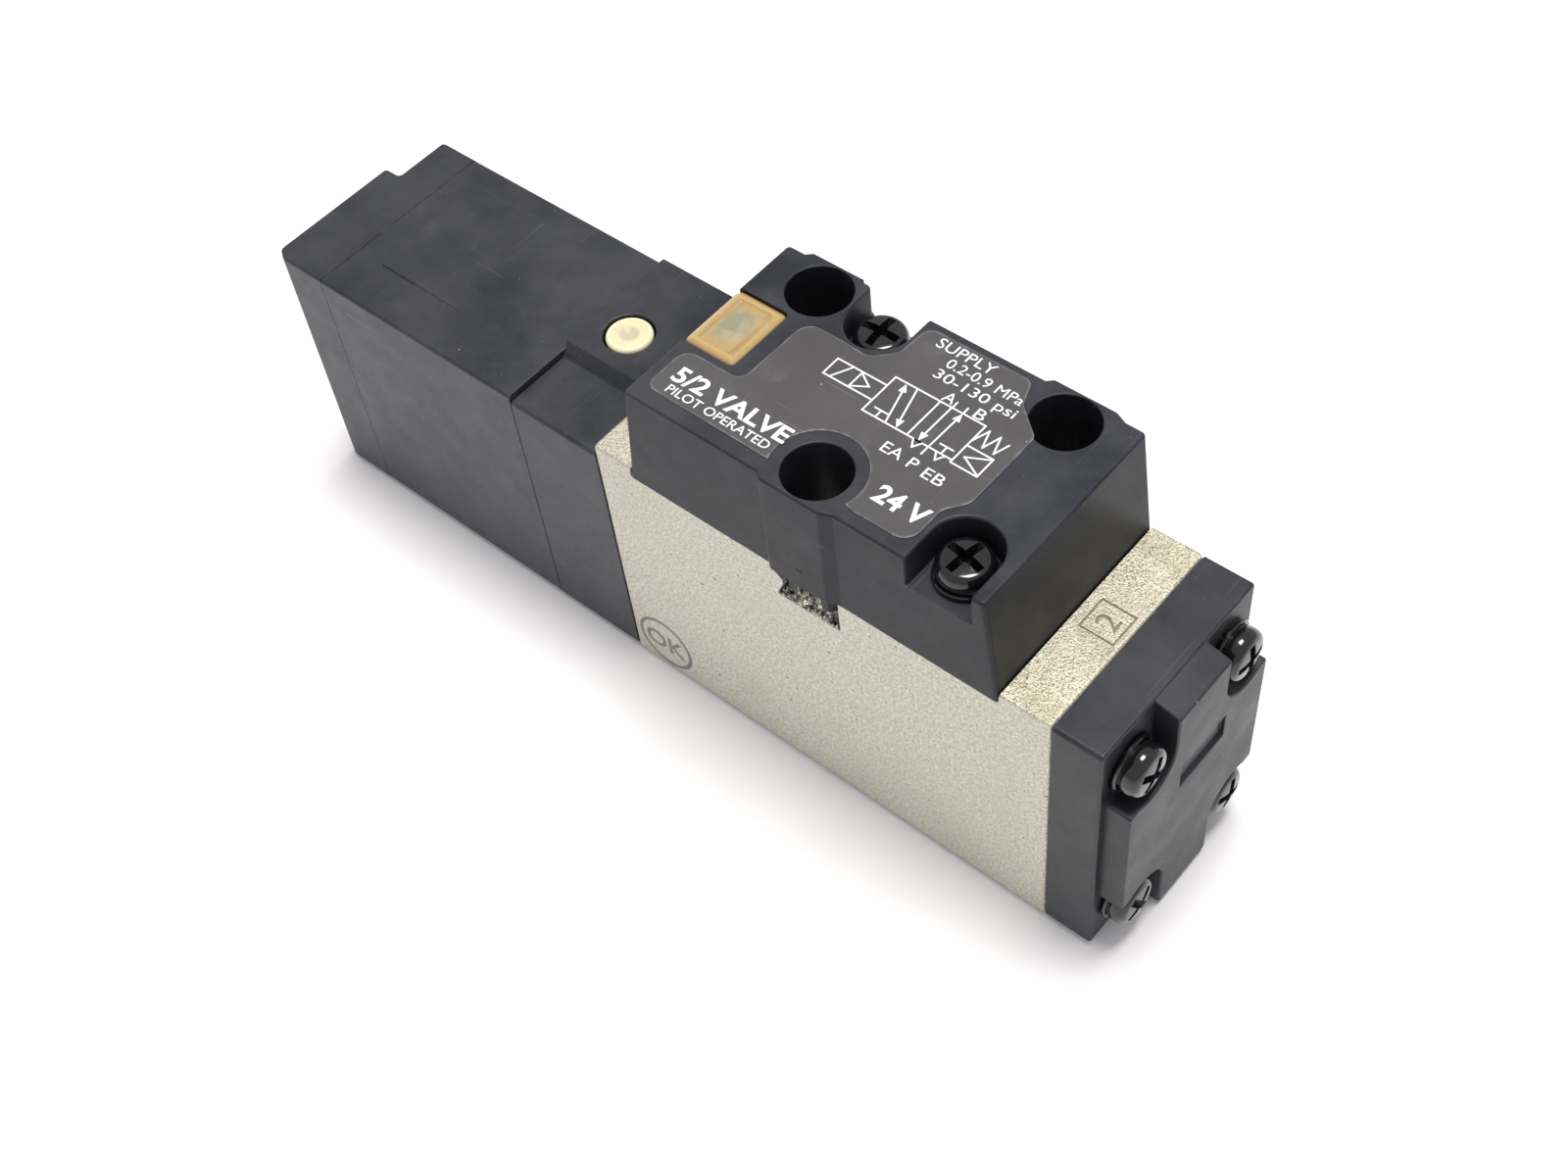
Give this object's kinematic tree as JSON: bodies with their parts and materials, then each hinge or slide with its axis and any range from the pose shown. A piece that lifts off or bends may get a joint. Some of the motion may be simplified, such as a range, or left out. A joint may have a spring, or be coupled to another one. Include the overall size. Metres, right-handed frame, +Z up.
{
  "type": "solenoid directional valve",
  "caption": "Base-mounted pilot-operated solenoid directional valve with a sliding spool, spring return, push-button manual override, indicator window and bolt-through cover.",
  "frame": {"origin": "on the mounting face, under the middle of the valve body, where the base gasket meets the sub-base", "axes": "+X along the valve from the solenoid to the end cover, +Y to the side with two mounting bolts, +Z up out of the mounting face"},
  "size_m": [0.1265, 0.0284, 0.0519],
  "materials": {
    "cast_aluminium": "sand-textured casting, satin",
    "black_plastic": "fine moulded texture, satin",
    "end_cover_plastic": "fine moulded texture, satin",
    "black_screw": "blackened and oiled steel, glossy",
    "ivory_plastic": "smooth",
    "amber_plastic": "translucent, glossy",
    "label_film": "printed film, satin",
    "rubber": "matte",
    "steel": "ground",
    "brass": "turned, brass colour",
    "copper": "enamelled copper winding",
    "board_green": "circuit board",
    "lamp_red": "glossy",
    "nylon": "smooth"
  },
  "bodies": {
    "valve_body": {"main_body": "cast_aluminium", "base_gasket": "rubber", "spool_sleeve": "steel", "sleeve_o_ring_1": "rubber", "sleeve_o_ring_2": "rubber", "sleeve_o_ring_3": "rubber", "sleeve_o_ring_4": "rubber", "sleeve_o_ring_5": "rubber", "sleeve_o_ring_6": "rubber", "return_spring": "steel", "end_cover": "end_cover_plastic", "end_cover_seal": "rubber", "end_cover_screw_1": "black_screw", "end_cover_screw_2": "black_screw", "end_cover_screw_3": "black_screw", "end_cover_screw_4": "black_screw", "top_cover": "black_plastic", "indicator_window": "amber_plastic", "indicator_board": "board_green", "indicator_lamp": "lamp_red", "name_label": "label_film", "cover_screw_1": "black_screw", "cover_screw_2": "black_screw", "pilot_adapter": "black_plastic", "adapter_seal": "rubber", "adapter_screw_1": "black_screw", "adapter_screw_2": "black_screw", "pilot_nozzle": "brass", "plug_insert": "nylon", "contact_pin_1": "brass", "contact_pin_2": "brass", "contact_pin_3": "brass", "button_spring": "steel", "button_seal": "rubber", "solenoid_housing": "black_plastic", "solenoid_end_cap": "black_plastic", "housing_screw_1": "black_screw", "housing_screw_2": "black_screw", "coil_bobbin": "nylon", "coil_winding": "copper", "coil_yoke": "steel", "core_tube": "steel", "fixed_core": "steel", "armature_spring": "steel"},
    "spool_set": {"spool": "steel", "pilot_piston": "nylon", "piston_ring": "rubber"},
    "armature_set": {"armature": "steel", "armature_seat": "rubber"},
    "button": {"override_button": "ivory_plastic"}
  },
  "joints": [
    {"name": "spool_slide", "type": "slide", "parent": "valve_body", "child": "spool_set", "axis": [1, 0, 0], "range_m": [0, 0.0032], "stiffness_N_per_m": 800, "springref_m": -0.003, "deforming": ["return_spring"]},
    {"name": "armature_slide", "type": "slide", "parent": "valve_body", "child": "armature_set", "axis": [-1, 0, 0], "range_m": [0, 0.0008], "stiffness_N_per_m": 600, "springref_m": -0.002, "deforming": ["armature_spring"]},
    {"name": "override_press", "type": "slide", "parent": "valve_body", "child": "button", "axis": [0, 0, -1], "range_m": [0, 0.0018], "stiffness_N_per_m": 600, "springref_m": -0.002, "deforming": ["button_spring"]}
  ]
}
